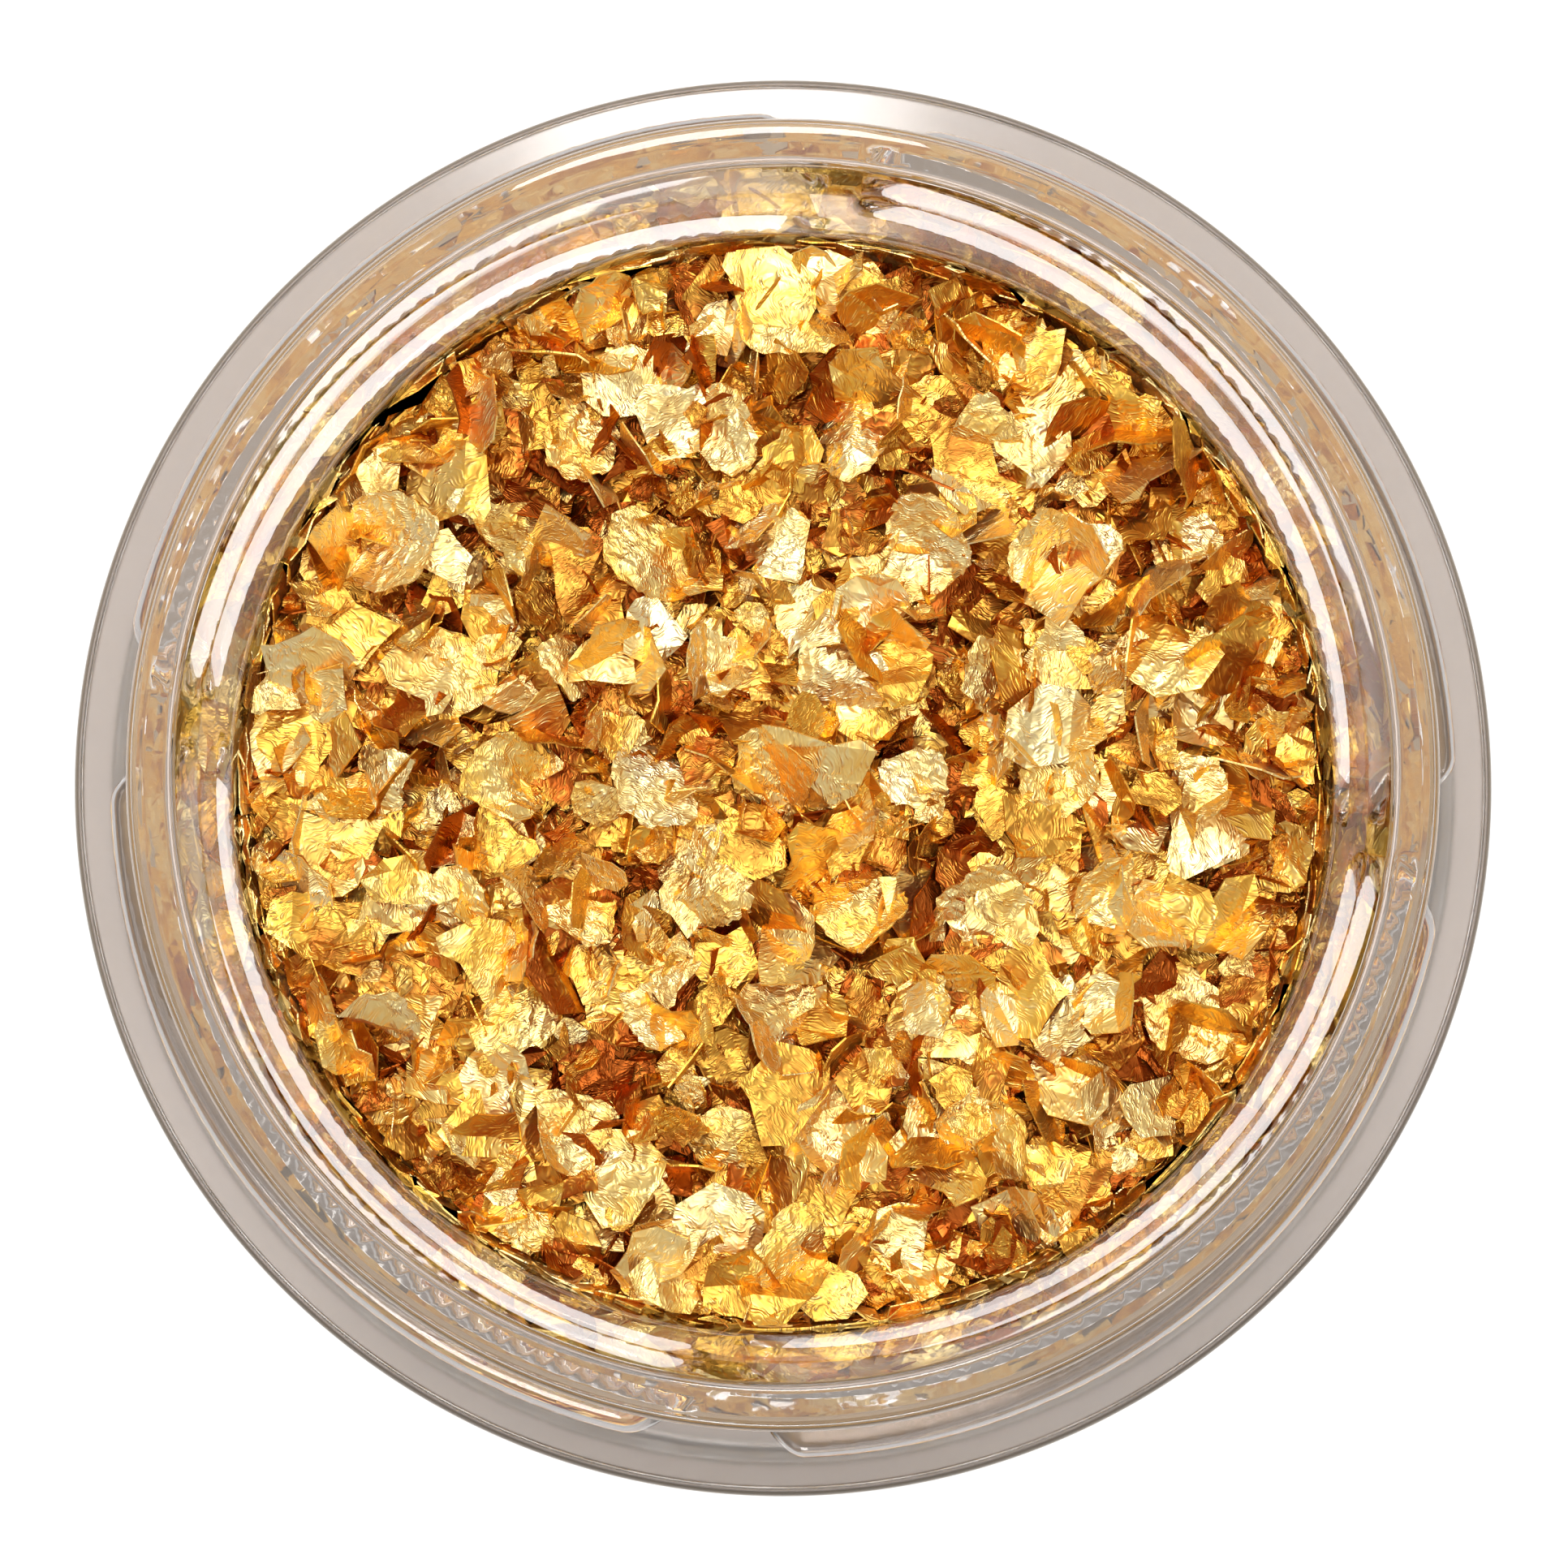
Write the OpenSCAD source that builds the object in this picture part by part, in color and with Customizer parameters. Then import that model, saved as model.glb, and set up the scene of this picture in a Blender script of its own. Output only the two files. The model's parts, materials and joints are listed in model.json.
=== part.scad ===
// Low wide-mouth sample jar with a four-start screw neck, filled with gold leaf flakes.
// Origin: centre of the foot's underside. +Z is the jar's axis, up through the mouth.

/* [Jar body] */
// Outside diameter of the body
body_d = 30.5; // [25:0.1:42]
// Height of the open jar, from the foot to the rim
jar_h = 15.5; // [12.5:0.5:30]
// Thickness of the floor over the recess
floor_t = 1.3; // [0.9:0.1:2]
// Rounding of the body's lower outer edge
foot_round = 0.8; // [0.4:0.1:1.5]
// Rounding of the shoulder's outer edge
shoulder_round = 0.3; // [0.1:0.05:0.6]
// Width of the flat ring that the jar stands on
foot_w = 2.2; // [1:0.1:4]
// Depth of the recess inside that ring
recess_depth = 0.5; // [0.2:0.1:1]
// Diameter of the moulding gate's mark in the recess
gate_d = 2; // [1:0.5:4]
// Height of that mark
gate_h = 0.2; // [0.1:0.05:0.3]

/* [Neck and mouth] */
// Width of the shoulder, from the body's side to the neck
shoulder_w = 2.65; // [2.3:0.05:4]
// Wall thickness of the neck at its land
neck_wall = 0.95; // [0.7:0.05:1.5]
// Height of the neck above the shoulder
neck_h = 6.5; // [5.4:0.1:9]
// Rounding where the neck meets the shoulder
neck_fillet = 0.2; // [0.1:0.05:0.3]
// Rounding of the rim's outer edge
rim_round = 0.25; // [0.1:0.05:0.4]
// Rounding of the rim's inner edge
lip_round = 0.2; // [0.1:0.05:0.4]
// How much narrower the neck is at the shoulder than at its land, on the radius
neck_relief = 0.1; // [0.05:0.01:0.2]
// Depth of the straight mouth wall below the rim
mouth_depth = 5.9; // [5:0.1:8]
// Draft of the wall below the straight stretch, on the radius
bowl_draft = 0.2; // [0.1:0.05:0.5]
// Inner rounding between the wall and the floor
bowl_round = 2.6; // [1:0.1:3]

/* [Thread] */
// Number of thread ribs around the neck
thread_starts = 4; // [2:1:6]
// Share of its sector that each rib covers
thread_cover = 0.94; // [0.7:0.01:0.98]
// Where the first rib's high end is, clockwise from +Y
thread_turn = 8; // [0:1:90]
// Plain land between the rim and the ribs' high ends
thread_land = 3; // [1:0.1:3.2]
// Gap between the ribs' low ends and the shoulder
thread_foot = 0.15; // [0.05:0.05:0.5]
// How far a rib stands out of the neck at its high end
rib_h_high = 1.1; // [0.5:0.05:1.6]
// How far it stands out at its low end
rib_h_low = 1.7; // [0.5:0.05:1.9]
// Width of a rib at the neck
rib_root = 1.3; // [0.8:0.05:1.5]
// Angle over which a rib's end rises to full height
rib_end = 6; // [3:1:15]

/* [Flakes] */
// Depth of the heap's surface below the rim
heap_depth = 6.2; // [6.2:0.1:9]
// Thickness of a large flake, as the bulk of its crumpled foil
leaf_t = 0.12; // [0.08:0.01:0.25]
// Steepest tilt of a large flake
leaf_tilt = 20; // [5:1:30]
// Furthest that a large flake lies off its place
leaf_shift = 0.2; // [0:0.05:0.4]
// Least gap between two large flakes
leaf_gap = 0.12; // [0.05:0.01:0.4]
// Thickness of a small flake
chip_t = 0.08; // [0.06:0.01:0.2]
// Steepest tilt of a small flake
chip_tilt = 35; // [5:1:45]
// Gap between a small flake and the large ones around it
chip_gap = 0.04; // [0.02:0.01:0.2]
// Gap between the flakes and the jar's wall
wall_gap = 0.1; // [0.03:0.01:0.5]
// Gap between the packed bed and the jar's wall
bed_gap = 0.04; // [0.02:0.01:0.2]
// Change this for another scatter of flakes
scatter_seed = 41; // [1:1:999]

/* [Hidden] */
$fn = 120;
SMALL_ARC_STEPS = 6;
BOWL_ARC_STEPS = 14;
RIB_STEP = 4;           // degrees between a rib's sections
RIB_SINK = 0.2;         // how far a rib's root is sunk into the neck
RIB_ROUND_STEPS = 6;    // flats across a rib's rounded section
LEAF_CORNERS = 9;
CHIP_CORNERS = 6;
RAGGED = 0.62;          // nearest corner of a ragged outline, as a share of its reach
SECTORS = 6;

// jar
body_r = body_d / 2;
neck_r = body_r - shoulder_w;
mouth_r = neck_r - neck_wall;
bowl_r = mouth_r - bowl_draft;
shoulder_z = jar_h - neck_h;
cavity_z = recess_depth + floor_t;
mouth_z = jar_h - mouth_depth;
recess_r = body_r - foot_round - foot_w;

// thread
sector = 360 / thread_starts;
rib_arc = sector * thread_cover;
land_z = jar_h - thread_land;
rib_top_z = land_z - rib_root / 2;
rib_low_z = shoulder_z + thread_foot + rib_root / 2;

// Large flakes lie on a triangular grid of CELLS, in steps of leaf_pitch. The furthest cells
// are GRID_REACH steps out, and their flakes end wall_gap short of the wall.
GRID_REACH = sqrt(12);
GRID_ROWS = 4;
heap_r = bowl_r - wall_gap;
leaf_pitch = (heap_r + leaf_gap / 2) / (GRID_REACH + 1 / 2);
leaf_reach = (leaf_pitch - leaf_gap) / 2 - leaf_shift;
leaf_rise = 2 * leaf_reach * sin(leaf_tilt) + leaf_t;
bed_top = jar_h - heap_depth - leaf_rise;
CELLS = [for (j = [-GRID_ROWS:GRID_ROWS], i = [-GRID_ROWS:GRID_ROWS])
    if (norm(grid_point(i, j)) <= GRID_REACH + 0.01) grid_point(i, j)];

// Small flakes lie in the hollows between three large ones.
HOLLOW_REACH = sqrt(43 / 3);
chip_reach = leaf_pitch / sqrt(3) - leaf_reach - leaf_shift - chip_gap;
HOLLOWS = [for (j = [-GRID_ROWS - 1:GRID_ROWS], i = [-GRID_ROWS - 1:GRID_ROWS], third = [1, 2])
    if (norm(grid_point(i + third / 3, j + third / 3)) <= HOLLOW_REACH + 0.01)
        grid_point(i + third / 3, j + third / 3)];

function leaf_name(i) = str("leaf_flake_", i < 10 ? "0" : "", i);
function chips_name(s) = str("small_flakes_", s);
function grid_point(i, j) = [i + j / 2, j * sqrt(3) / 2];

// Points of an arc around centre c, with radius r, from angle a to angle b.
function arc(c, r, a, b, steps) =
    [for (i = [0:steps]) c + r * [cos(a + (b - a) * i / steps), sin(a + (b - a) * i / steps)]];

// Half section of the cavity, drawn in from its own wall by inset, from the axis to height top.
function bowl_section(inset, top) = concat(
    [[0, cavity_z]],
    arc([bowl_r - bowl_round, cavity_z + bowl_round], bowl_round - inset, -90, 0, BOWL_ARC_STEPS),
    [[bowl_r - inset + bowl_draft * bed_share(top), top]]);

// How far height z is up the drafted wall, from 0 at its foot to 1 where the wall runs straight.
function bed_share(z) = min(1, (z - cavity_z - bowl_round) / (mouth_z - cavity_z - bowl_round));

// Half section of the jar: underside, outside, rim, mouth, cavity.
function jar_section() = concat(
    [[0, recess_depth], [recess_r - recess_depth, recess_depth], [recess_r, 0]],
    arc([body_r - foot_round, foot_round], foot_round, -90, 0, SMALL_ARC_STEPS),
    arc([body_r - shoulder_round, shoulder_z - shoulder_round], shoulder_round, 0, 90,
        SMALL_ARC_STEPS),
    arc([neck_r - neck_relief + neck_fillet, shoulder_z + neck_fillet], neck_fillet, 270, 180,
        SMALL_ARC_STEPS),
    [[neck_r, land_z]],
    arc([neck_r - rim_round, jar_h - rim_round], rim_round, 0, 90, SMALL_ARC_STEPS),
    arc([mouth_r + lip_round, jar_h - lip_round], lip_round, 90, 180, SMALL_ARC_STEPS),
    [[mouth_r, mouth_z]],
    arc([bowl_r - bowl_round, cavity_z + bowl_round], bowl_round, 0, -90, BOWL_ARC_STEPS),
    [[0, cavity_z]]);

// Radius of the neck at height z: straight along the land, then narrower down to the shoulder.
function neck_at(z) = neck_r - neck_relief * max(0, land_z - z) / (land_z - shoulder_z);

// One section of a rib, at share t of its length: half a round on a root sunk in the neck.
function rib_section(t) =
    let (edge = min(t, 1 - t) * rib_arc,
         full = rib_h_high + (rib_h_low - rib_h_high) * t,
         h = edge >= rib_end ? full : (full + RIB_SINK / 2) * sin(90 * edge / rib_end)
             - RIB_SINK / 2,
         z = rib_top_z + (rib_low_z - rib_top_z) * t)
    [for (i = [0:RIB_ROUND_STEPS]) let (a = 180 * i / RIB_ROUND_STEPS - 90)
        [neck_at(z) - RIB_SINK + (h + RIB_SINK) * cos(a), z + rib_root / 2 * sin(a)]];

// A rib runs clockwise and downwards from its high end, which lies on the +Y side.
module thread_rib() {
    steps = ceil(rib_arc / RIB_STEP);
    sides = len(rib_section(0));
    points = [for (k = [0:steps], p = rib_section(k / steps))
        let (a = 90 - rib_arc * k / steps) [p.x * cos(a), p.x * sin(a), p.y]];
    walls = [for (k = [0:steps - 1], s = [0:sides - 1])
        let (a = k * sides + s, b = k * sides + (s + 1) % sides) [a, a + sides, b + sides, b]];
    high_end = [for (s = [0:sides - 1]) s];
    low_end = [for (s = [0:sides - 1]) steps * sides + sides - 1 - s];
    polyhedron(points, concat(walls, [high_end, low_end]));
}

// Clear moulded jar: one piece with its neck, thread ribs and foot ring.
module jar_body() {
    color([0.9, 0.89, 0.88, 0.35]) {
        rotate_extrude() polygon(jar_section());
        for (i = [0:thread_starts - 1]) rotate(-thread_turn - i * sector) thread_rib();
        translate([0, 0, recess_depth - gate_h]) cylinder(h = 2 * gate_h, d = gate_d);
    }
}

// The settled crumbs under the top layer, as one solid that fills the bowl.
module packed_fine_flakes() {
    color([0.72, 0.48, 0.12]) rotate_extrude()
        polygon(concat([[0, bed_top]], bowl_section(bed_gap, bed_top)));
}

// A ragged plate that stands on the bed with its lowest corner, tilted about a level line.
module ragged_plate(place, reach, corners, thickness, tilt, seed) {
    turns = rands(-0.3, 0.3, corners, seed);
    spans = rands(RAGGED, 1, corners, seed + 1);
    pose = rands(0, 1, 2, seed + 2);
    lean = tilt * pose[0];
    line = 360 * pose[1];
    outline = [for (i = [0:corners - 1]) let (a = (i + turns[i]) * 360 / corners)
        reach * spans[i] * [cos(a), sin(a)]];
    drop = max([for (p = outline) sin(lean) * (sin(line) * p.x - cos(line) * p.y)]);
    translate([place.x, place.y, bed_top + drop])
        rotate(lean, [cos(line), sin(line), 0])
            linear_extrude(thickness) polygon(outline);
}

// Large flake number i of the top layer.
module leaf_flake(i) {
    seed = scatter_seed + 10 * i;
    shift = rands(0, 1, 2, seed + 3);
    place = leaf_pitch * CELLS[i - 1]
        + leaf_shift * shift[0] * [cos(360 * shift[1]), sin(360 * shift[1])];
    color([0.93, 0.72, 0.3])
        ragged_plate(place, leaf_reach, LEAF_CORNERS, leaf_t, leaf_tilt, seed);
}

// The small flakes in one of the heap's sectors, as a group of separate solids.
module small_flakes(s) {
    color([0.85, 0.6, 0.2])
        for (k = [0:len(HOLLOWS) - 1])
            if (sector_of(HOLLOWS[k]) == s)
                ragged_plate(leaf_pitch * HOLLOWS[k], chip_reach, CHIP_CORNERS, chip_t, chip_tilt,
                    scatter_seed + 1000 + 10 * k);
}

// Which of the heap's sectors a grid point lies in, counted from 1.
function sector_of(p) = 1 + floor((atan2(p.y, p.x) + 360 + SECTOR_TURN) % 360 * SECTORS / 360);
SECTOR_TURN = 15;       // keeps the sectors' edges between the hollows

jar_body();
packed_fine_flakes();
for (i = [1:len(CELLS)])
    leaf_flake(i);
for (s = [1:SECTORS])
    small_flakes(s);
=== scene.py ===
"""Open clear sample jar with a four-start screw neck, filled with crumpled gold leaf."""
import json
import math

import bmesh
import bpy
import numpy as np
from mathutils import Matrix, Vector


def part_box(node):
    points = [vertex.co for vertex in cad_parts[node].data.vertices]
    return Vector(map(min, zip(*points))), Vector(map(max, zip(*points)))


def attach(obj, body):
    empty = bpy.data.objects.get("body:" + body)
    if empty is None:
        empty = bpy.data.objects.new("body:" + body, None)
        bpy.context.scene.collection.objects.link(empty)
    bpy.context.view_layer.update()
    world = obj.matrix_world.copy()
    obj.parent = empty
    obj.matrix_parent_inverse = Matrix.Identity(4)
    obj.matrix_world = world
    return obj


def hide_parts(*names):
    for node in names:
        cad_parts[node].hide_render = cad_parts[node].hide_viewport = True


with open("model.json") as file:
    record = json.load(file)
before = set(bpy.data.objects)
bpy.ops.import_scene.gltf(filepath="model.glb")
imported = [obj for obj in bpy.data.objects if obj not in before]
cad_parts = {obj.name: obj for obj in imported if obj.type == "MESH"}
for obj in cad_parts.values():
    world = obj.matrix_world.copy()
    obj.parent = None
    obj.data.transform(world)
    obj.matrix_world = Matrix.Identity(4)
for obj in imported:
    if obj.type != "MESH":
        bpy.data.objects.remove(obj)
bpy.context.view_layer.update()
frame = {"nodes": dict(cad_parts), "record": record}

MM = 0.001
MOUNTS = {mount["name"]: mount for mount in frame["record"]["mounts"]}

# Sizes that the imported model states
BODY_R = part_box("jar_body")[1].x
RIM_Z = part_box("jar_body")[1].z
MOUTH_R = MOUNTS["mouth_bore"]["dims"]["r_mm"] * MM
NECK_R = MOUNTS["neck_land"]["dims"]["r_mm"] * MM
CREST_R = MOUNTS["neck_thread"]["dims"]["r_mm"] * MM
THREAD_LENGTH = MOUNTS["neck_thread"]["dims"]["length_mm"] * MM
THREAD_MIDDLE = MOUNTS["neck_thread"]["pos_m"][2]
MOUTH_MIDDLE = MOUNTS["mouth_bore"]["pos_m"][2]
FLOOR_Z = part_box("packed_fine_flakes")[0].z

# Jar: the moulding's own roundings and walls
RIM_ROUND = 0.25 * MM
LIP_ROUND = 0.2 * MM
NECK_FILLET = 0.2 * MM
NECK_RELIEF = 0.1 * MM
SHOULDER_ROUND = 0.3 * MM
FOOT_ROUND = 0.8 * MM
FOOT_W = 2.2 * MM
RECESS_DEPTH = 0.5 * MM
BOWL_DRAFT = 0.2 * MM
BOWL_ROUND = 2.6 * MM
BED_GAP = 0.04 * MM
THREAD_FOOT = 0.15 * MM          # between the ribs' low ends and the shoulder
SHOULDER_Z = THREAD_MIDDLE - THREAD_LENGTH / 2 - THREAD_FOOT
LAND_Z = THREAD_MIDDLE + THREAD_LENGTH / 2
MOUTH_Z = 2 * MOUTH_MIDDLE - RIM_Z + LIP_ROUND
BOWL_R = MOUTH_R - BOWL_DRAFT
CAVITY_Z = FLOOR_Z - BED_GAP
JAR_STEPS = 576
BED_STEPS = 96
LAND_ROWS = 6
THREAD_ROWS = 66

# Thread
STARTS = 4
RIB_ARC = 86                     # degrees that each rib covers
RIB_TURN = 8                     # degrees from +Y to the first rib's high end
RIB_ROOT = 1.4 * MM
RIB_LOW = CREST_R - NECK_R + NECK_RELIEF    # how far a rib stands out at its low end
RIB_HIGH = RIB_LOW - 0.6 * MM
RIB_END = 6                      # degrees over which a rib's end rises

# Heap of leaf
HEAP_DEPTH = 6.2 * MM            # from the rim
HEAP_Z = RIM_Z - HEAP_DEPTH
HEAP_R = BOWL_R + 0.05 * MM
BED_Z = HEAP_Z - 2.1 * MM        # where the scraps begin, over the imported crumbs
BED_INSET = 0.35 * MM            # room for the wall scraps round the bed
CELL = 0.1 * MM                  # of the map of the heap's height
LEAF_T = 0.03 * MM
FINE_ROWS = 8                    # a sheet with more rows than this has its cut edge smoothed
PRESSED = 0.01 * MM              # scraps press into the wall, so the wall shows their gold
SECTORS = 6
SMALL_SHAPES = 14
MOST_SMALL_SCRAPS = 9000
LAST_SCRAPS = 420                # small scraps laid over the large ones
WALL_SCRAPS = 2600
SIDE_SHARE = 0.5                 # of the wall scraps, on the bowl's side
ROUNDING_SHARE = 0.32            # and on its rounding; the rest are on its floor
SMALL_CLEAR = 62                 # percent of a scrap's points that stay clear of the heap
LARGE_CLEAR = 88
LAST_CLEAR = 72
SEED = 7

# The leaf's gold, from pale at the heap's top to red far down in it, where the red is painted shade
LEAF_TONES = [(1, 0.89, 0.62, 1), (1, 0.77, 0.33, 1), (0.95, 0.56, 0.09, 1),
              (0.42, 0.1, 0.015, 1)]


def clear_selection():
    """An operator acts on all that is selected, so nothing is, before a piece is begun."""
    bpy.ops.object.select_all(action="DESELECT")


def named(name):
    """The piece just begun, under its own name."""
    piece = bpy.context.object
    piece.name = name
    piece.data.name = name
    return piece


def pick(piece, wanted):
    """Selects the vertices in edit mode whose place passes the test."""
    mesh = bmesh.from_edit_mesh(piece.data)
    for vertex in mesh.verts:
        vertex.select = wanted(vertex.co)
    mesh.select_flush_mode()
    bmesh.update_edit_mesh(piece.data)


def edit(piece):
    """Enters edit mode with all of the piece selected."""
    clear_selection()
    bpy.context.view_layer.objects.active = piece
    piece.select_set(True)
    bpy.ops.object.mode_set(mode="EDIT")
    bpy.ops.mesh.select_mode(type="VERT")
    bpy.ops.mesh.select_all(action="SELECT")


def finish_edit():
    bpy.ops.object.mode_set(mode="OBJECT")


def apply_modifier(piece, kind, **settings):
    modifier = piece.modifiers.new(kind.lower(), kind)
    for setting, value in settings.items():
        setattr(modifier, setting, value)
    bpy.ops.object.modifier_apply(modifier=modifier.name)


def arc(r, z, size, start, end, steps):
    """Points of a section's rounding, as radius and height."""
    turns = [math.radians(start + (end - start) * k / steps) for k in range(steps + 1)]
    return [(r + size * math.cos(turn), z + size * math.sin(turn)) for turn in turns]


def lathe(name, section, steps):
    """A closed round solid: its section is drawn out point by point, and spun about +Z."""
    clear_selection()
    bpy.ops.mesh.primitive_plane_add(size=2 * MM)
    piece = named(name)
    edit(piece)
    pick(piece, lambda place: place.x < 0 or place.y < 0)
    bpy.ops.mesh.delete(type="VERT")
    bpy.ops.mesh.select_all(action="SELECT")
    here = Vector((MM, MM, 0))
    places = [Vector((r, 0, z)) for r, z in section]
    bpy.ops.transform.translate(value=places[0] - here)
    for here, there in zip(places, places[1:]):
        bpy.ops.mesh.extrude_region_move(TRANSFORM_OT_translate={"value": there - here})
    bpy.ops.mesh.select_all(action="SELECT")
    bpy.ops.mesh.spin(steps=steps, angle=2 * math.pi, center=(0, 0, 0), axis=(0, 0, 1))
    bpy.ops.mesh.select_all(action="SELECT")
    bpy.ops.mesh.remove_doubles(threshold=0.001 * MM)
    bpy.ops.mesh.normals_make_consistent(inside=False)
    finish_edit()
    return piece


# ---------------------------------------------------------------- jar

def neck_at(z):
    """The neck is straight along its land, and a little narrower from there to the shoulder."""
    return NECK_R - NECK_RELIEF * max(0, LAND_Z - z) / (LAND_Z - SHOULDER_Z)


def jar_section():
    """Half section of the jar: underside, outside, neck, rim, mouth and cavity."""
    recess_r = BODY_R - FOOT_ROUND - FOOT_W
    neck_low = SHOULDER_Z + NECK_FILLET
    neck_high = RIM_Z - RIM_ROUND
    rows = [neck_low + (LAND_Z - neck_low) * k / THREAD_ROWS for k in range(1, THREAD_ROWS)]
    rows += [LAND_Z + (neck_high - LAND_Z) * k / LAND_ROWS for k in range(LAND_ROWS)]
    return (
        [(0, RECESS_DEPTH), (recess_r - RECESS_DEPTH, RECESS_DEPTH), (recess_r, 0)]
        + arc(BODY_R - FOOT_ROUND, FOOT_ROUND, FOOT_ROUND, -90, 0, 8)
        + arc(BODY_R - SHOULDER_ROUND, SHOULDER_Z - SHOULDER_ROUND, SHOULDER_ROUND, 0, 90, 8)
        + arc(neck_at(SHOULDER_Z) + NECK_FILLET, neck_low, NECK_FILLET, 270, 180, 6)
        + [(neck_at(z), z) for z in rows]
        + arc(NECK_R - RIM_ROUND, neck_high, RIM_ROUND, 0, 90, 8)
        + arc(MOUTH_R + LIP_ROUND, RIM_Z - LIP_ROUND, LIP_ROUND, 90, 180, 8)
        + [(MOUTH_R, MOUTH_Z)]
        + arc(BOWL_R - BOWL_ROUND, CAVITY_Z + BOWL_ROUND, BOWL_ROUND, 0, -90, 16)
        + [(0, CAVITY_Z)])


def rib_height(place):
    """How far a thread rib stands out of the neck at this place."""
    if not SHOULDER_Z < place.z < LAND_Z:
        return 0
    if math.hypot(place.x, place.y) < neck_at(place.z) - 0.01 * MM:
        return 0
    sector = 360 / STARTS
    turn = (90 - math.degrees(math.atan2(place.y, place.x)) - RIB_TURN) % sector
    if turn > RIB_ARC:
        return 0
    share = turn / RIB_ARC
    high_z = LAND_Z - RIB_ROOT / 2
    low_z = SHOULDER_Z + THREAD_FOOT + RIB_ROOT / 2
    off = abs(place.z - high_z - (low_z - high_z) * share) / (RIB_ROOT / 2)
    if off > 1:
        return 0
    rise = math.sin(math.pi / 2 * min(1, turn / RIB_END, (RIB_ARC - turn) / RIB_END))
    return (RIB_HIGH + (RIB_LOW - RIB_HIGH) * share) * rise * math.cos(math.pi / 2 * off)


def make_jar():
    """The moulding, its thread ribs raised out of the neck's fine rows."""
    jar = lathe("clear_jar", jar_section(), JAR_STEPS)
    ribs = jar.vertex_groups.new(name="thread_ribs")
    for vertex in jar.data.vertices:
        height = rib_height(vertex.co)
        if height > 0:
            ribs.add([vertex.index], height / RIB_LOW, "REPLACE")
    apply_modifier(jar, "DISPLACE", direction="NORMAL", mid_level=0, strength=RIB_LOW,
                   vertex_group=ribs.name)
    jar.vertex_groups.clear()
    bpy.ops.object.shade_smooth_by_angle(angle=math.radians(35))
    return jar


# ---------------------------------------------------------------- leaf

def foil_flake(name, reach, rows, cuts, folds, crumple, chance, near=0.5, far=0.95):
    """A scrap of leaf: a small sheet cut to a ragged outline, folded and crumpled."""
    clear_selection()
    bpy.ops.mesh.primitive_grid_add(x_subdivisions=rows, y_subdivisions=rows, size=2 * reach)
    flake = named(name)
    edit(flake)
    start = chance.uniform(0, 360)
    for k in range(cuts):
        turn = math.radians(start + (k + chance.uniform(-0.3, 0.3)) * 360 / cuts)
        way = Vector((math.cos(turn), math.sin(turn), 0))
        bpy.ops.mesh.select_all(action="SELECT")
        bpy.ops.mesh.bisect(plane_co=way * reach * chance.uniform(near, far), plane_no=way,
                            clear_outer=True)
    bpy.ops.mesh.select_all(action="SELECT")
    bpy.ops.mesh.remove_doubles(threshold=0.7 * reach / rows)
    if rows > FINE_ROWS:
        bpy.ops.mesh.vertices_smooth(factor=0.5, repeat=3)
    for angle in folds:
        bpy.ops.mesh.select_all(action="SELECT")
        bpy.ops.transform.rotate(value=chance.uniform(0, 2 * math.pi), orient_axis="Z",
                                 center_override=(0, 0, 0))
        crease = reach * chance.uniform(-0.35, 0.5)
        bpy.ops.mesh.bisect(plane_co=(0, crease, 0), plane_no=(0, 1, 0))
        pick(flake, lambda place: place.y > crease + 0.001 * MM)
        bpy.ops.transform.rotate(value=math.radians(angle), orient_axis="X",
                                 center_override=(0, crease, 0))
    bpy.ops.mesh.select_all(action="SELECT")
    bpy.ops.transform.vertex_random(offset=crumple, seed=int(chance.randint(1, 9999)))
    finish_edit()
    return flake


def thicken(flake):
    """Gives the sheet the bulk of crumpled leaf."""
    apply_modifier(flake, "SOLIDIFY", thickness=LEAF_T, offset=0)


def read_shape(flake, reach):
    """A scrap's points, faces and flat plan in millimetres, ready to be laid many times."""
    mesh = flake.data
    points = np.empty(len(mesh.vertices) * 3)
    mesh.vertices.foreach_get("co", points)
    points = points.reshape(-1, 3)
    points -= (points.min(0) + points.max(0)) / 2
    corners = np.empty(len(mesh.loops), np.int32)
    mesh.loops.foreach_get("vertex_index", corners)
    starts = np.empty(len(mesh.polygons), np.int32)
    mesh.polygons.foreach_get("loop_start", starts)
    plan = np.empty(len(mesh.loops) * 2)
    mesh.uv_layers.active.data.foreach_get("uv", plan)
    centres = np.array([points[list(face.vertices)].mean(0) for face in mesh.polygons])
    edges = np.array([points[list(edge.vertices)].mean(0) for edge in mesh.edges])
    bpy.data.objects.remove(flake)
    return {"points": points, "corners": corners, "starts": starts,
            "plan": plan.reshape(-1, 2) * 2 * reach / MM,
            "feelers": np.concatenate([points, centres, edges])}


def turned(yaw, tilt, lean):
    """A scrap's own turn, then its tilt, then the way that it leans."""
    return np.array(Matrix.Rotation(lean, 3, "Z") @ Matrix.Rotation(tilt, 3, "X")
                    @ Matrix.Rotation(yaw, 3, "Z"))


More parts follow.
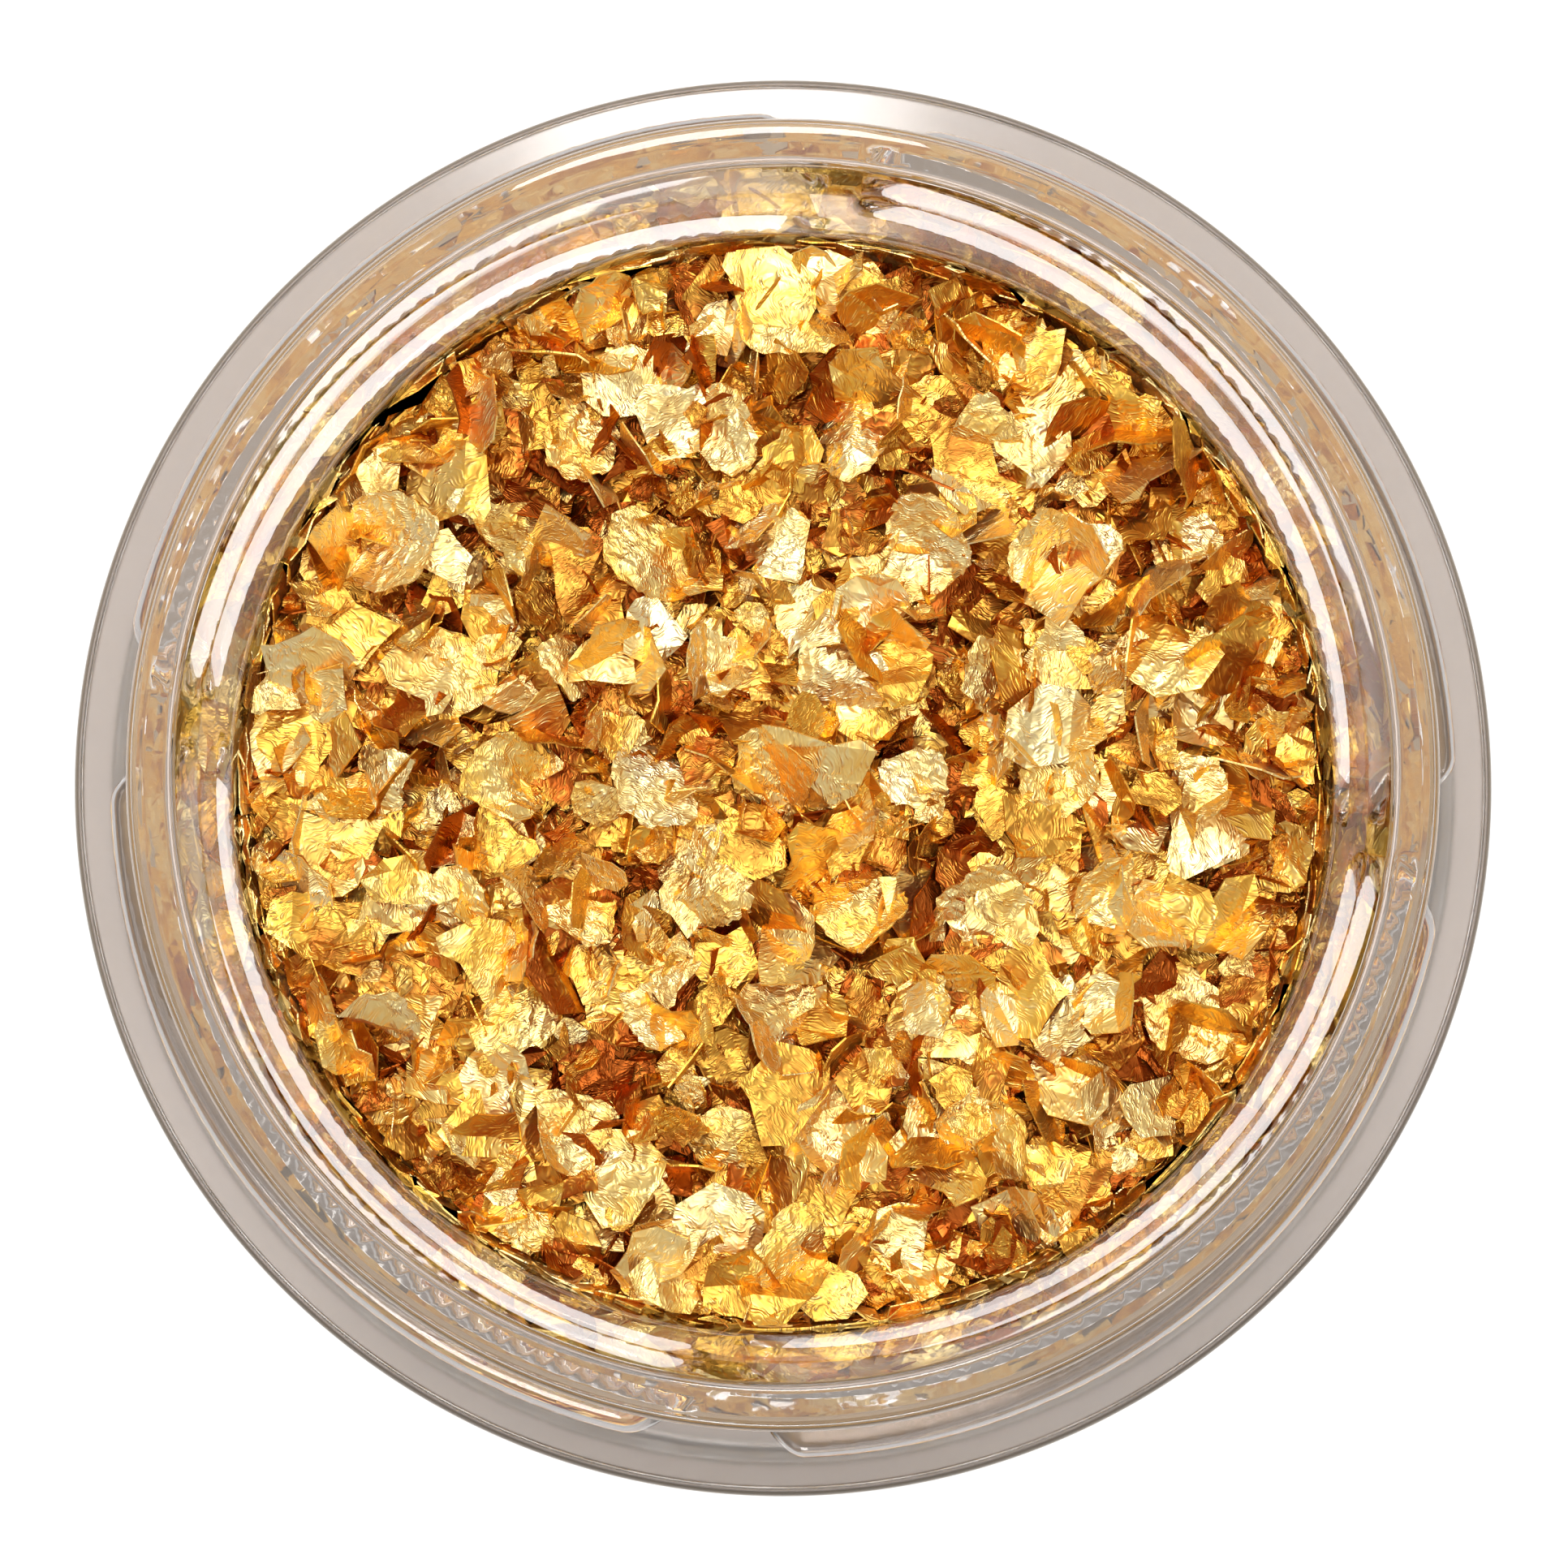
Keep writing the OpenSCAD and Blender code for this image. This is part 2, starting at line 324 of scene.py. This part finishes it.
def lay_scraps(name, laid):
    """One piece from many laid scraps: each is a shape, a 3 by 3 turn, a place, and a tone."""
    chance = np.random.RandomState(SEED + len(laid))
    points, corners, starts, plans, tones = [], [], [], [], []
    point_count = corner_count = 0
    for shape, turn, place, tone in laid:
        points.append(shape["points"] @ turn.T + place)
        corners.append(shape["corners"] + point_count)
        starts.append(shape["starts"] + corner_count)
        plans.append(shape["plan"] + chance.uniform(0, 40, 2))
        tones.append(np.full(len(shape["points"]), tone))
        point_count += len(shape["points"])
        corner_count += len(shape["corners"])
    starts = np.concatenate(starts)
    mesh = bpy.data.meshes.new(name)
    mesh.vertices.add(point_count)
    mesh.vertices.foreach_set("co", np.concatenate(points).ravel())
    mesh.loops.add(corner_count)
    mesh.loops.foreach_set("vertex_index", np.concatenate(corners))
    mesh.polygons.add(len(starts))
    mesh.polygons.foreach_set("loop_start", starts)
    mesh.uv_layers.new(name="leaf_plan").data.foreach_set("uv", np.concatenate(plans).ravel())
    # Each point's tone: random per scrap, plus painted shade on scraps far down in the heap.
    tone = mesh.attributes.new("leaf_tone_and_depth_shade", "FLOAT", "POINT")
    tone.data.foreach_set("value", np.concatenate(tones))
    mesh.update(calc_edges=True)
    mesh.validate()
    mesh.shade_flat()
    piece = bpy.data.objects.new(name, mesh)
    bpy.context.scene.collection.objects.link(piece)
    return piece


# ---------------------------------------------------------------- heap

heap_cells = int(2 * BODY_R / CELL) + 2
heap_height = np.full((heap_cells, heap_cells), BED_Z)


def settle(feelers, x, y, clear):
    """Lays a scrap on the heap at x, y, pushed in from the wall, and returns its place."""
    reach = np.hypot(feelers[:, 0] + x, feelers[:, 1] + y)
    over = reach.max() - HEAP_R
    if over > 0:
        away = max(math.hypot(x, y), MM)
        x -= over * x / away
        y -= over * y / away
    rows = ((feelers[:, 0] + x + BODY_R) / CELL).astype(int)
    columns = ((feelers[:, 1] + y + BODY_R) / CELL).astype(int)
    z = np.percentile(heap_height[rows, columns] - feelers[:, 2], clear)
    np.maximum.at(heap_height, (rows, columns), feelers[:, 2] + z)
    return np.array([x, y, z])


def lowest_place(chance, tries):
    """Of a few places in the mouth, the one where the heap is lowest."""
    best = None
    for _ in range(tries):
        r = HEAP_R * math.sqrt(chance.uniform(0, 1))
        turn = chance.uniform(0, 2 * math.pi)
        x, y = r * math.cos(turn), r * math.sin(turn)
        row, column = int((x + BODY_R) / CELL), int((y + BODY_R) / CELL)
        level = heap_height[row - 2:row + 3, column - 2:column + 3].mean()
        if best is None or level < best[0]:
            best = (level, x, y)
    return best


def fill_heap(shapes, chance):
    """Lays small scraps until the heap is full, each on those under it."""
    laid = []
    full = HEAP_Z - 0.25 * MM
    while len(laid) < MOST_SMALL_SCRAPS:
        level, x, y = lowest_place(chance, 5)
        if level > full:
            break
        laid.append(lay_one(shapes, chance, x, y, 32, SMALL_CLEAR))
    return laid


def leaf_tone_and_depth_shade(chance, z):
    """From 0, pale, to 1, deep red gold: a random tone per scrap, plus painted shade that deepens
    for scraps far down in the heap.
    """
    depth = max(0, (HEAP_Z - z) / MM - 0.3)
    return min(1, chance.uniform(0, 0.55) + 0.7 * depth)


def lay_one(shapes, chance, x, y, spread, clear):
    """Lays one small scrap of a random shape, size and tilt on the heap at x, y."""
    shape = shapes[chance.randint(len(shapes))]
    size = min(1.35, max(0.4, math.exp(chance.normal(-0.18, 0.4))))
    tilt = math.radians(min(80, abs(chance.normal(0, spread))))
    turn = turned(chance.uniform(0, 6.28), tilt, chance.uniform(0, 6.28)) * size
    place = settle(shape["feelers"] @ turn.T, x, y, clear)
    return shape, turn, place, leaf_tone_and_depth_shade(chance, place[2])


def make_heap():
    """The heap's pieces, each with the CAD node that it replaces, and the small shapes."""
    chance = np.random.RandomState(SEED)
    small = []
    for k in range(SMALL_SHAPES):
        reach = chance.uniform(0.7, 1.15) * MM
        folds = [chance.uniform(12, 48) * (-1) ** k] + [chance.uniform(-40, 40)] * (k % 2)
        flake = foil_flake(f"small_scrap_{k}", reach, 3, 8 + k % 3, folds, 0.09 * MM, chance)
        thicken(flake)
        small.append(read_shape(flake, reach))
    leaves = []
    cad_leaves = sorted(name for name in frame["nodes"] if name.startswith("leaf_flake_"))
    for k, name in enumerate(cad_leaves):
        reach = chance.uniform(1.0, 1.5) * MM
        folds = [chance.uniform(15, 55) * (-1) ** k, chance.uniform(-50, 50),
                 chance.uniform(-35, 35)]
        flake = foil_flake(f"scrap_{k}", reach, 16, 11, folds, 0.045 * MM, chance, 0.62, 1.0)
        thicken(flake)
        leaves.append(read_shape(flake, reach))
    laid = fill_heap(small, chance)
    pieces = []
    for shape, name in zip(leaves, cad_leaves):
        low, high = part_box(name)
        tilt = math.radians(min(50, abs(chance.normal(0, 20))))
        turn = turned(chance.uniform(0, 6.28), tilt, chance.uniform(0, 6.28))
        middle = (low + high) / 2
        place = settle(shape["feelers"] @ turn.T, middle.x, middle.y, LARGE_CLEAR)
        tone = chance.uniform(0, 0.3)
        leaf = lay_scraps(name.replace("flake", "scrap"), [(shape, turn, place, tone)])
        pieces.append((leaf, name))
    for _ in range(LAST_SCRAPS):
        _, x, y = lowest_place(chance, 3)
        laid.append(lay_one(small, chance, x, y, 40, LAST_CLEAR))
    sectors = [[] for _ in range(SECTORS)]
    for one in laid:
        turn = math.degrees(math.atan2(one[2][1], one[2][0])) % 360
        sectors[int(turn // (360 / SECTORS)) % SECTORS].append(one)
    for k, sector in enumerate(sectors, 1):
        pieces.append((lay_scraps(f"small_scraps_{k}", sector), f"small_flakes_{k}"))
    return pieces, small


def bowl_wall(z):
    """The cavity's radius at height z, down through the floor's rounding."""
    low = CAVITY_Z + BOWL_ROUND
    if z >= low:
        return BOWL_R + BOWL_DRAFT * min(1, (z - low) / (MOUTH_Z - low))
    drop = min(BOWL_ROUND, low - z)
    return BOWL_R - BOWL_ROUND + math.sqrt(BOWL_ROUND ** 2 - drop ** 2)


def bowl_place(chance):
    """A place on the cavity's side, rounding or floor, and the way out of the cavity there."""
    level = chance.uniform(0, 1)
    low = CAVITY_Z + BOWL_ROUND
    if level < SIDE_SHARE:
        z = chance.uniform(low, HEAP_Z - 0.1 * MM)
        r, slope = bowl_wall(z), 0
    elif level < SIDE_SHARE + ROUNDING_SHARE:
        slope = chance.uniform(0, math.pi / 2)
        z = low - BOWL_ROUND * math.sin(slope)
        r = BOWL_R - BOWL_ROUND + BOWL_ROUND * math.cos(slope)
    else:
        z, slope = CAVITY_Z, math.pi / 2
        r = (BOWL_R - BOWL_ROUND) * math.sqrt(chance.uniform(0, 1))
    turn = chance.uniform(0, 2 * math.pi)
    out = Vector((math.cos(slope) * math.cos(turn), math.cos(slope) * math.sin(turn),
                  -math.sin(slope)))
    return Vector((r * math.cos(turn), r * math.sin(turn), z)), out


def make_wall_scraps(small):
    """Scraps pressed against the bowl's side, its rounding and its floor."""
    chance = np.random.RandomState(SEED + 1)
    laid = []
    for _ in range(WALL_SCRAPS):
        spot, out = bowl_place(chance)
        tilt = Matrix.Rotation(math.radians(chance.normal(0, 7)), 3, "X")
        facing = np.array(out.to_track_quat("Z", "Y").to_matrix() @ tilt
                          @ Matrix.Rotation(chance.uniform(0, 6.28), 3, "Z"))
        facing = facing * chance.uniform(0.6, 1.2)
        shape = small[chance.randint(len(small))]
        reach = np.percentile(shape["feelers"] @ facing.T @ np.array(out), 55)
        laid.append((shape, facing, np.array(spot - out * reach), chance.uniform(0, 0.6)))
    piece = lay_scraps("wall_scraps", laid)
    for vertex in piece.data.vertices:
        vertex.co.z = min(HEAP_Z, max(CAVITY_Z - PRESSED, vertex.co.z))
        over = math.hypot(vertex.co.x, vertex.co.y) / (bowl_wall(vertex.co.z) + PRESSED)
        if over > 1:
            vertex.co.x /= over
            vertex.co.y /= over
    piece.data.update()
    return piece


def make_bed():
    """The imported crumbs: one solid that fills the bowl under the scraps."""
    bed_r = BOWL_R - BED_INSET
    low = CAVITY_Z + BOWL_ROUND
    top = BED_Z - 0.2 * MM
    section = ([(0, CAVITY_Z + BED_INSET)]
               + arc(BOWL_R - BOWL_ROUND, low, BOWL_ROUND - BED_INSET, -90, 0, 8)
               + [(bed_r, low + 1.5 * MM), (bed_r, top), (BOWL_R - 4 * MM, top), (0, top)])
    return lathe("packed_crumbs", section, BED_STEPS)


# ---------------------------------------------------------------- finishes

def new_group(name, inputs, outputs):
    """An empty shader group with its sockets, and its input and output nodes."""
    group = bpy.data.node_groups.new(name, "ShaderNodeTree")
    for socket, kind, value in inputs:
        made = group.interface.new_socket(socket, in_out="INPUT", socket_type=kind)
        if value is not None:
            made.default_value = value
    for socket, kind in outputs:
        group.interface.new_socket(socket, in_out="OUTPUT", socket_type=kind)
    return group, group.nodes.new("NodeGroupInput"), group.nodes.new("NodeGroupOutput")


def node(tree, kind, inputs=None, **settings):
    """A new node, each of its inputs linked to a socket or set to a value."""
    made = tree.nodes.new(kind)
    for setting, value in settings.items():
        setattr(made, setting, value)
    for socket, value in (inputs or {}).items():
        if isinstance(value, bpy.types.NodeSocket):
            tree.links.new(value, made.inputs[socket])
        else:
            made.inputs[socket].default_value = value
    return made


def maths(tree, operation, a, b):
    return node(tree, "ShaderNodeMath", {0: a, 1: b}, operation=operation).outputs[0]


def crumpled_foil():
    """Height of a foil's creases and fine wrinkles, and a mask of its duller patches."""
    group, given, out = new_group(
        "crumpled_foil",
        [("Plan", "NodeSocketVector", None), ("Crease Scale", "NodeSocketFloat", 3.2),
         ("Wrinkle Scale", "NodeSocketFloat", 7)],
        [("Height", "NodeSocketFloat"), ("Dull", "NodeSocketFloat"),
         ("Ridge", "NodeSocketFloat")])
    plan, creases, wrinkles = (given.outputs[k] for k in range(3))
    warp = node(group, "ShaderNodeTexNoise", {"Vector": plan, "Scale": 2.2, "Detail": 1})
    bent = node(group, "ShaderNodeVectorMath",
                {0: warp.outputs["Color"], 1: (0.5, 0.5, 0.5)}, operation="MULTIPLY").outputs[0]
    bent = node(group, "ShaderNodeVectorMath", {0: plan, 1: bent}, operation="ADD").outputs[0]
    crease = node(group, "ShaderNodeTexVoronoi",
                  {"Vector": bent, "Scale": creases, "Randomness": 1},
                  feature="F1").outputs["Distance"]
    streak = node(group, "ShaderNodeMapping", {"Vector": bent, "Scale": (1, 2.6, 1)})
    wrinkle = node(group, "ShaderNodeTexNoise",
                   {"Vector": streak.outputs[0], "Scale": wrinkles, "Detail": 3, "Roughness": 0.6},
                   noise_type="RIDGED_MULTIFRACTAL", normalize=True).outputs[0]
    height = maths(group, "ADD", maths(group, "MULTIPLY", crease, 0.9),
                   maths(group, "MULTIPLY", wrinkle, 0.7))
    dull = node(group, "ShaderNodeTexNoise", {"Vector": plan, "Scale": 1.1, "Detail": 3})
    patch = node(group, "ShaderNodeMapRange",
                 {"Value": dull.outputs[0], "From Min": 0.38, "From Max": 0.62})
    group.links.new(height, out.inputs["Height"])
    group.links.new(wrinkle, out.inputs["Ridge"])
    group.links.new(patch.outputs[0], out.inputs["Dull"])
    return group


def gold(name, foil, tones, bright, dull, bump):
    """Leaf: toned by scrap and patch, with painted shade deep in the heap and in the wrinkles'
    grooves and painted highlights on their ridges, satin where it is dull, and creased all over.
    """
    material = bpy.data.materials.new(name)
    material.use_nodes = True
    tree = material.node_tree
    shader = tree.nodes["Principled BSDF"]
    shader.inputs["Metallic"].default_value = 1
    shader.inputs["Specular Tint"].default_value = (1, 0.79, 0.44, 1)
    plan = node(tree, "ShaderNodeUVMap", uv_map="leaf_plan")
    creased = node(tree, "ShaderNodeGroup", {"Plan": plan.outputs[0]}, node_tree=foil)
    # The scrap's tone, with painted shade that deepens far down in the heap.
    tone = node(tree, "ShaderNodeAttribute", attribute_name="leaf_tone_and_depth_shade").outputs["Fac"]
    patches = maths(tree, "MULTIPLY", creased.outputs["Dull"], 0.2)
    # Painted shade in the wrinkles' grooves and painted highlight on their ridges: the tone deepens
    # where the ridged noise is low and pales where it is high.
    painted_groove_shade_and_ridge_highlight = node(tree, "ShaderNodeMapRange", {"Value": creased.outputs["Ridge"],
                                                "To Min": 0.22, "To Max": -0.22})
    mixed = maths(tree, "ADD", maths(tree, "ADD", tone, patches), painted_groove_shade_and_ridge_highlight.outputs[0])
    colour = node(tree, "ShaderNodeValToRGB", {"Fac": mixed})
    ramp = colour.color_ramp
    ramp.elements[0].color = tones[0]
    ramp.elements[1].color = tones[-1]
    for share, shade in zip((0.35, 0.68), tones[1:-1]):
        ramp.elements.new(share).color = shade
    tree.links.new(colour.outputs[0], shader.inputs["Base Color"])
    rough = node(tree, "ShaderNodeMapRange",
                 {"Value": creased.outputs["Dull"], "To Min": bright, "To Max": dull})
    tree.links.new(rough.outputs[0], shader.inputs["Roughness"])
    raised = node(tree, "ShaderNodeBump",
                  {"Height": creased.outputs["Height"], "Strength": 1, "Distance": bump})
    tree.links.new(raised.outputs[0], shader.inputs["Normal"])
    return material


def crumbs():
    """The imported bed: dark gold crumbs, lit only through the gaps over them."""
    material = bpy.data.materials.new("packed_gold_crumbs")
    material.use_nodes = True
    tree = material.node_tree
    shader = tree.nodes["Principled BSDF"]
    shader.inputs["Metallic"].default_value = 1
    place = node(tree, "ShaderNodeTexCoord")
    cells = node(tree, "ShaderNodeTexVoronoi",
                 {"Vector": place.outputs["Object"], "Scale": 1500})
    shade = node(tree, "ShaderNodeSeparateColor", {"Color": cells.outputs["Color"]})
    colour = node(tree, "ShaderNodeValToRGB", {"Fac": shade.outputs[0]})
    colour.color_ramp.elements[0].color = (0.42, 0.17, 0.03, 1)
    colour.color_ramp.elements[1].color = (0.9, 0.6, 0.2, 1)
    tree.links.new(colour.outputs[0], shader.inputs["Base Color"])
    shader.inputs["Roughness"].default_value = 0.5
    raised = node(tree, "ShaderNodeBump",
                  {"Height": shade.outputs[1], "Strength": 0.8, "Distance": 0.1 * MM})
    tree.links.new(raised.outputs[0], shader.inputs["Normal"])
    return material


def clear_plastic():
    """Clear plastic, with a satin shoulder whose dark grey is painted shade, and the mould's faint
    flow lines.
    """
    material = bpy.data.materials.new("clear_plastic")
    material.use_nodes = True
    tree = material.node_tree
    shader = tree.nodes["Principled BSDF"]
    shader.inputs["Transmission Weight"].default_value = 1
    shader.inputs["IOR"].default_value = 1.57
    place = node(tree, "ShaderNodeTexCoord").outputs["Object"]
    spot = node(tree, "ShaderNodeSeparateXYZ", {0: place})
    flat = node(tree, "ShaderNodeCombineXYZ", {"X": spot.outputs["X"], "Y": spot.outputs["Y"]})
    far = node(tree, "ShaderNodeVectorMath", {0: flat.outputs[0]}, operation="LENGTH")
    above = maths(tree, "GREATER_THAN", spot.outputs["Z"], SHOULDER_Z - SHOULDER_ROUND)
    below = maths(tree, "LESS_THAN", spot.outputs["Z"], SHOULDER_Z + 0.02 * MM)
    outside = maths(tree, "GREATER_THAN", far.outputs["Value"], NECK_R)
    shoulder = maths(tree, "MULTIPLY", maths(tree, "MULTIPLY", above, below), outside)
    # The shoulder band's dark grey is painted shade seen through the plastic; the same band is also
    # satin.
    colour = node(tree, "ShaderNodeValToRGB", {"Fac": shoulder})
    colour.color_ramp.elements[0].color = (0.88, 0.83, 0.8, 1)
    colour.color_ramp.elements[1].color = (0.25, 0.245, 0.24, 1)
    tree.links.new(colour.outputs[0], shader.inputs["Base Color"])
    rough = node(tree, "ShaderNodeMapRange", {"Value": shoulder, "To Min": 0.02, "To Max": 0.14})
    tree.links.new(rough.outputs[0], shader.inputs["Roughness"])
    flow = node(tree, "ShaderNodeTexNoise", {"Vector": place, "Scale": 350, "Detail": 2})
    raised = node(tree, "ShaderNodeBump",
                  {"Height": flow.outputs[0], "Strength": 0.15, "Distance": 0.06 * MM})
    tree.links.new(raised.outputs[0], shader.inputs["Normal"])
    return material


def floor_paper():
    """Plain pale paper, with a painted shadow where the jar stands on it and a painted golden glow
    under the jar's middle.
    """
    material = bpy.data.materials.new("pale_floor")
    material.use_nodes = True
    tree = material.node_tree
    shader = tree.nodes["Principled BSDF"]
    place = node(tree, "ShaderNodeTexCoord")
    far = node(tree, "ShaderNodeVectorMath", {0: place.outputs["Object"]}, operation="LENGTH")
    shade = node(tree, "ShaderNodeMapRange",
                 {"Value": far.outputs["Value"], "From Min": BODY_R - 1.5 * MM, "From Max": BODY_R})
    colour = node(tree, "ShaderNodeValToRGB", {"Fac": shade.outputs[0]})
    # Painted golden glow under the jar's middle, a painted grey shadow out to the jar's edge, and
    # plain pale paper beyond.
    ramp = colour.color_ramp
    ramp.elements[0].color = (0.64, 0.5, 0.32, 1)
    ramp.elements[1].color = (0.95, 0.95, 0.95, 1)
    for share in (0.45, 0.75):
        ramp.elements.new(share).color = (0.7, 0.64, 0.6, 1)
    tree.links.new(colour.outputs[0], shader.inputs["Base Color"])
    shader.inputs["Roughness"].default_value = 0.85
    return material


def finish_piece(piece, material, slot, *nodes):
    """Gives a piece its material and its body, and hides the CAD nodes that it replaces. The slot
    is not used.
    """
    piece.data.materials.clear()
    piece.data.materials.append(material)
    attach(piece, "root")
    if nodes:
        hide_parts(*nodes)


# ---------------------------------------------------------------- object

foil = crumpled_foil()
leaf_gold = gold("gold_leaf", foil, LEAF_TONES, bright=0.33, dull=0.47, bump=0.058 * MM)

jar = make_jar()
finish_piece(jar, clear_plastic(), "clear_plastic", "jar_body")
jar.visible_shadow = False       # clear plastic lets the studio light through
heap, scrap_shapes = make_heap()
for piece, cad_node in heap:
    finish_piece(piece, leaf_gold, "gold_leaf", cad_node)
finish_piece(make_wall_scraps(scrap_shapes), leaf_gold, "gold_crumbs")
finish_piece(make_bed(), crumbs(), "gold_crumbs", "packed_fine_flakes")

# ---------------------------------------------------------------- scene

clear_selection()
bpy.ops.mesh.primitive_plane_add(size=0.8)
floor = named("pale_floor")
floor.data.materials.append(floor_paper())

scene = bpy.context.scene
scene.view_settings.view_transform = "Standard"
scene.cycles.max_bounces = 24
scene.cycles.glossy_bounces = 12
scene.cycles.transmission_bounces = 20
world = bpy.data.worlds.new("studio")
scene.world = world
world.use_nodes = True
world.node_tree.nodes["Background"].inputs["Color"].default_value = (1, 1, 1, 1)
world.node_tree.nodes["Background"].inputs["Strength"].default_value = 0.61


def softbox(name, place, size, power):
    """A square light that faces the heap."""
    light = bpy.data.lights.new(name, "AREA")
    light.energy = power
    light.size = size
    made = bpy.data.objects.new(name, light)
    made.location = place
    aim = Vector((0, 0, HEAP_Z)) - Vector(place)
    made.rotation_euler = aim.to_track_quat("-Z", "Y").to_euler()
    scene.collection.objects.link(made)


softbox("overhead_softbox", (0, 0.02, 0.24), size=0.23, power=0.38)
softbox("side_softbox", (-0.01, 0.1, 0.2), size=0.05, power=0.11)

CAMERA_HEIGHT = 53 * MM          # over the rim
CAMERA_LEAN = math.radians(2)
camera_data = bpy.data.cameras.new("camera")
camera_data.lens = 63.74
camera_data.sensor_width = 36
camera_data.clip_start = 1 * MM
camera = bpy.data.objects.new("camera", camera_data)
reach = CAMERA_HEIGHT + RIM_Z - SHOULDER_Z
camera.location = (0.02 * MM, -0.05 * MM - reach * math.sin(CAMERA_LEAN),
                   SHOULDER_Z + reach * math.cos(CAMERA_LEAN))
camera.rotation_euler = (CAMERA_LEAN, 0, 0)
scene.collection.objects.link(camera)
scene.camera = camera
